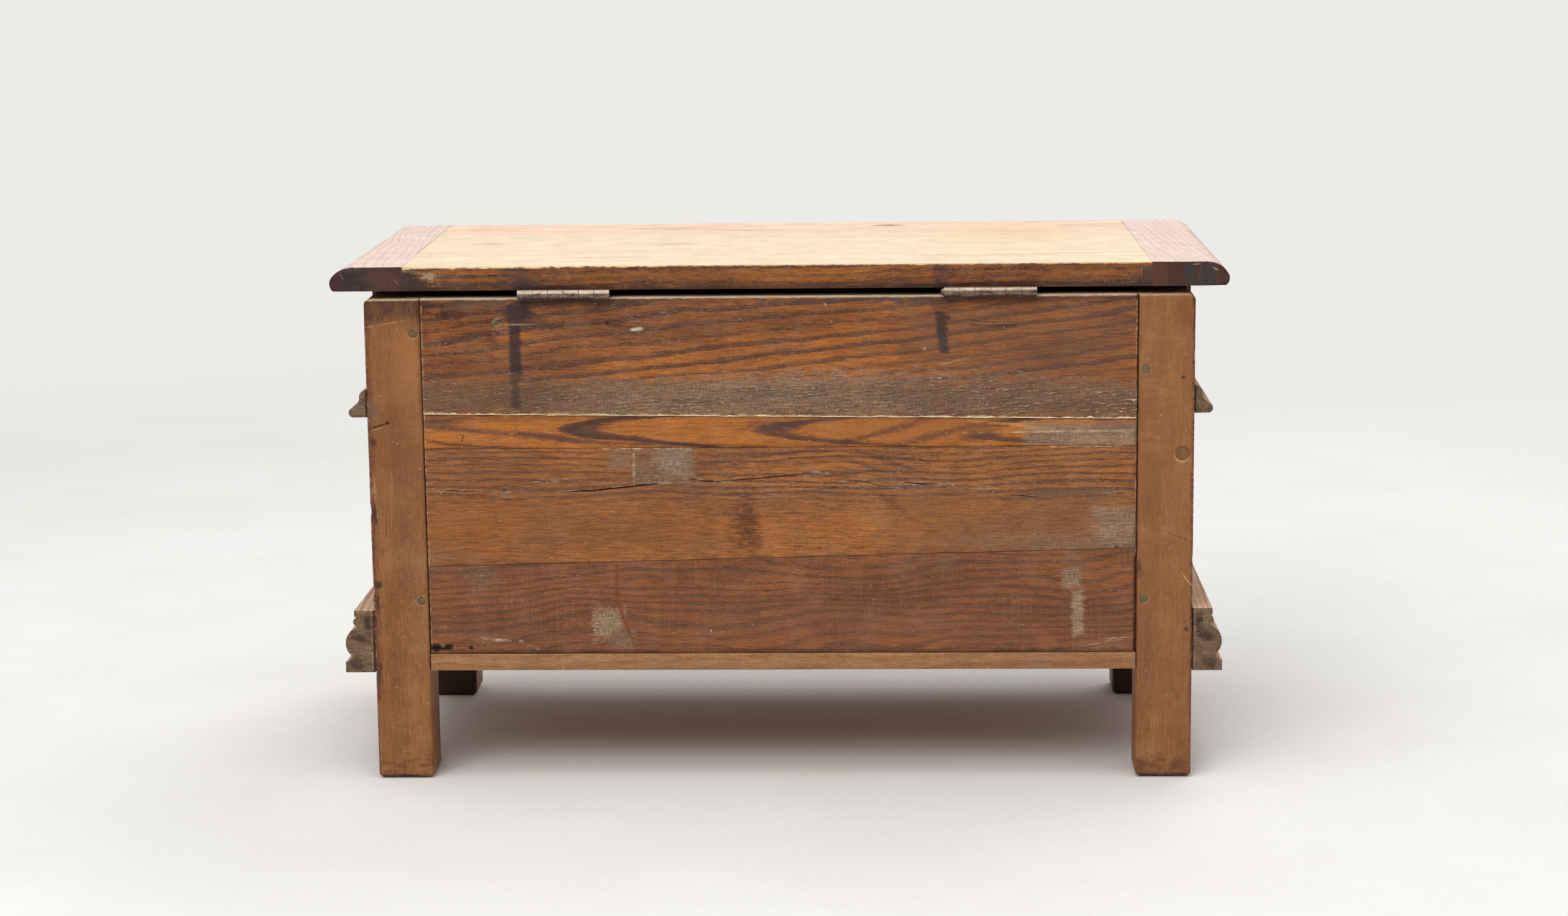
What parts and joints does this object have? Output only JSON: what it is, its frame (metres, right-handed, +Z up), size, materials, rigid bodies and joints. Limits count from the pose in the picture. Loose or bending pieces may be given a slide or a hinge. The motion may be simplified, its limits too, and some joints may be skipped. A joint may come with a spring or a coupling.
{
  "type": "storage chest",
  "caption": "Joined oak storage chest: posts that end in feet, pegged wall boards, moulded waist and base, and a cleated lid that swings on butt hinges.",
  "frame": {"origin": "on the floor, at the middle of the outline seen from above", "axes": "+Z up, -Y towards the front, +X towards the right end as seen from the front; the picture shows the back, which faces +Y"},
  "size_m": [0.972, 0.4802, 0.5717],
  "materials": {
    "post_wood": "worn, waxed",
    "back_wood": "dry, rough-sawn in places",
    "wall_wood": "waxed",
    "bottom_wood": "dry, sawn",
    "moulding_wood": "waxed, dry at the cut ends",
    "peg_wood": "end grain",
    "lid_wood": "dry, pale",
    "cleat_wood": "dry, pale",
    "hinge_metal": "browned",
    "screw_metal": "dull"
  },
  "bodies": {
    "carcass": {"rear_left_post": "post_wood", "rear_right_post": "post_wood", "front_left_post": "post_wood", "front_right_post": "post_wood", "back_board_1": "back_wood", "back_board_2": "back_wood", "back_board_3": "back_wood", "back_board_4": "back_wood", "front_board_1": "wall_wood", "front_board_2": "wall_wood", "front_board_3": "wall_wood", "left_board_1": "wall_wood", "left_board_2": "wall_wood", "left_board_3": "wall_wood", "right_board_1": "wall_wood", "right_board_2": "wall_wood", "right_board_3": "wall_wood", "bottom_board_rear": "bottom_wood", "bottom_board_middle": "bottom_wood", "bottom_board_front": "bottom_wood", "base_moulding_front": "moulding_wood", "base_moulding_left": "moulding_wood", "base_moulding_right": "moulding_wood", "waist_moulding_front": "moulding_wood", "waist_moulding_left": "moulding_wood", "waist_moulding_right": "moulding_wood", "back_pegs": "peg_wood", "front_pegs": "peg_wood", "left_pegs": "peg_wood", "right_pegs": "peg_wood", "post_plug": "peg_wood", "back_screw": "screw_metal", "bottom_nails": "screw_metal", "left_hinge_body_leaf": "hinge_metal", "right_hinge_body_leaf": "hinge_metal", "left_hinge_pin": "hinge_metal", "right_hinge_pin": "hinge_metal", "body_leaf_screws": "screw_metal"},
    "lid": {"lid_rear_board": "lid_wood", "lid_front_board": "lid_wood", "lid_left_cleat": "cleat_wood", "lid_right_cleat": "cleat_wood", "left_hinge_lid_leaf": "hinge_metal", "right_hinge_lid_leaf": "hinge_metal", "lid_leaf_screws": "screw_metal"}
  },
  "joints": [
    {"name": "lid_hinge", "type": "hinge", "parent": "carcass", "child": "lid", "pos_m": [0, 0.2346, 0.5413], "axis": [-1, 0, 0], "range_deg": [0, 200]}
  ]
}
